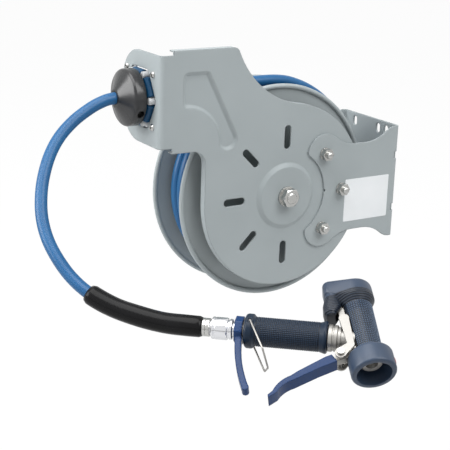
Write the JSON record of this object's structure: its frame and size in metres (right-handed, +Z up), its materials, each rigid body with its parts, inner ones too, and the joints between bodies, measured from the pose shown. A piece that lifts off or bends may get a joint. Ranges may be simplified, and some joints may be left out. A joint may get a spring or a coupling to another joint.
{
  "type": "wall-mounted spring-rewind hose reel with spray gun",
  "caption": "Open wall-mounted spring-rewind hose reel with a bent wall bracket, roller hose guide, ball-type hose stop, ratchet, wound hose and a front-trigger spray gun on a swivel.",
  "frame": {"origin": "on the wall face of the bracket, midway between its corner slots and level with the drum axis", "axes": "+Z up, +X out of the reel into the wall, Y along the drum axis with the arm's side plate at -Y"},
  "size_m": [0.5801, 0.5657, 0.37],
  "materials": {
    "powder_grey": "satin powder coat",
    "zinc_steel": "zinc plated",
    "stainless": "satin stainless",
    "chrome": "polished",
    "brass": "machined",
    "hose_blue": "semi-gloss",
    "sleeve_black": "gloss",
    "stop_black": "moulded",
    "roller_blue": "moulded",
    "guide_pale": "moulded",
    "navy_rubber": "dimpled",
    "trigger_blue": "dipped coating",
    "spring_steel": "oiled",
    "seal_black": "soft"
  },
  "bodies": {
    "frame": {"wall_bracket": "powder_grey", "front_plate": "powder_grey", "rear_plate": "powder_grey", "cheek_bolts": "zinc_steel", "cheek_washers": "zinc_steel", "cheek_nuts": "zinc_steel", "main_shaft": "zinc_steel", "shaft_washer": "zinc_steel", "shaft_nut": "zinc_steel", "spring_arbor": "zinc_steel", "swivel_seals": "seal_black", "inlet_elbow": "brass", "pawl_post": "zinc_steel", "guide_frame": "guide_pale", "guide_screws": "zinc_steel", "roller_pins": "zinc_steel", "hose_tail": "hose_blue", "hose_stop_front": "stop_black", "hose_stop_rear": "stop_black", "stop_screws": "zinc_steel", "hose_sleeve": "sleeve_black", "hose_ferrule": "zinc_steel"},
    "drum": {"drum_barrel": "powder_grey", "front_flange": "powder_grey", "rear_flange": "powder_grey", "front_bush": "brass", "rear_bush": "brass", "ratchet_ring": "zinc_steel", "power_spring": "spring_steel", "swivel_body": "brass", "hose_outlet": "brass", "hose_core": "hose_blue", "hose_winding": "hose_blue"},
    "pawl": {"ratchet_pawl": "zinc_steel"},
    "roller_1": {"guide_roller_1": "roller_blue"},
    "roller_2": {"guide_roller_2": "roller_blue"},
    "roller_3": {"guide_roller_3": "roller_blue"},
    "roller_4": {"guide_roller_4": "roller_blue"},
    "roller_5": {"guide_roller_5": "roller_blue"},
    "roller_6": {"guide_roller_6": "roller_blue"},
    "gun": {"swivel_coupling": "chrome", "handle_tube": "stainless", "grip": "navy_rubber", "valve_body": "stainless", "head_cover": "navy_rubber", "nozzle": "stainless", "packing_nut": "brass", "fulcrum_pin": "zinc_steel", "valve_spring": "spring_steel"},
    "hook": {"hanging_hook": "trigger_blue"},
    "wire": {"hold_open_wire": "stainless"},
    "trigger": {"trigger_lever": "stainless", "trigger_cover": "trigger_blue", "stirrup_pin": "zinc_steel"},
    "stem": {"stirrup": "stainless", "valve_stem": "brass"}
  },
  "joints": [
    {"name": "drum_spin", "type": "hinge", "parent": "frame", "child": "drum", "pos_m": [-0.198, 0, 0], "axis": [0, 1, 0], "continuous": true},
    {"name": "pawl_swing", "type": "hinge", "parent": "frame", "child": "pawl", "pos_m": [-0.236, 0.0435, -0.092], "axis": [0, -1, 0], "range_deg": [0, 9]},
    {"name": "roller_1_spin", "type": "hinge", "parent": "frame", "child": "roller_1", "pos_m": [-0.40225, 0.02075, 0.16302], "axis": [0, -0.5, 0.866], "continuous": true},
    {"name": "roller_2_spin", "type": "hinge", "parent": "frame", "child": "roller_2", "pos_m": [-0.40225, -0.007, 0.17904], "axis": [0, -1, 0], "continuous": true},
    {"name": "roller_3_spin", "type": "hinge", "parent": "frame", "child": "roller_3", "pos_m": [-0.40225, -0.03475, 0.16302], "axis": [0, -0.5, -0.866], "continuous": true},
    {"name": "roller_4_spin", "type": "hinge", "parent": "frame", "child": "roller_4", "pos_m": [-0.40225, -0.03475, 0.13098], "axis": [0, 0.5, -0.866], "continuous": true},
    {"name": "roller_5_spin", "type": "hinge", "parent": "frame", "child": "roller_5", "pos_m": [-0.40225, -0.007, 0.11496], "axis": [0, 1, 0], "continuous": true},
    {"name": "roller_6_spin", "type": "hinge", "parent": "frame", "child": "roller_6", "pos_m": [-0.40225, 0.02075, 0.13098], "axis": [0, 0.5, 0.866], "continuous": true},
    {"name": "gun_swivel", "type": "hinge", "parent": "frame", "child": "gun", "pos_m": [-0.44517, -0.2872, -0.07579], "axis": [0.7372, -0.6755, 0.0175], "continuous": true},
    {"name": "hook_turn", "type": "hinge", "parent": "gun", "child": "hook", "pos_m": [-0.42158, -0.30882, -0.07523], "axis": [0.7372, -0.6755, 0.0175], "range_deg": [-90, 90]},
    {"name": "wire_swing", "type": "hinge", "parent": "gun", "child": "wire", "pos_m": [-0.412, -0.3176, -0.075], "axis": [0.3388, 0.3471, -0.8745], "range_deg": [-36, 20]},
    {"name": "trigger_pull", "type": "hinge", "parent": "gun", "child": "trigger", "pos_m": [-0.33404, -0.41356, -0.08289], "axis": [0.3388, 0.3471, -0.8745], "range_deg": [0, 13], "stiffness_Nm_per_rad": 1.2, "springref_deg": -20.05},
    {"name": "stem_slide", "type": "slide", "parent": "gun", "child": "stem", "axis": [0.3359, 0.8236, 0.4571], "range_m": [0, 0.0037], "deforming": ["valve_spring"]}
  ],
  "couplings": [
    {"joint": "stem_slide", "follows": "trigger_pull", "m_per_rad": 0.0155}
  ]
}
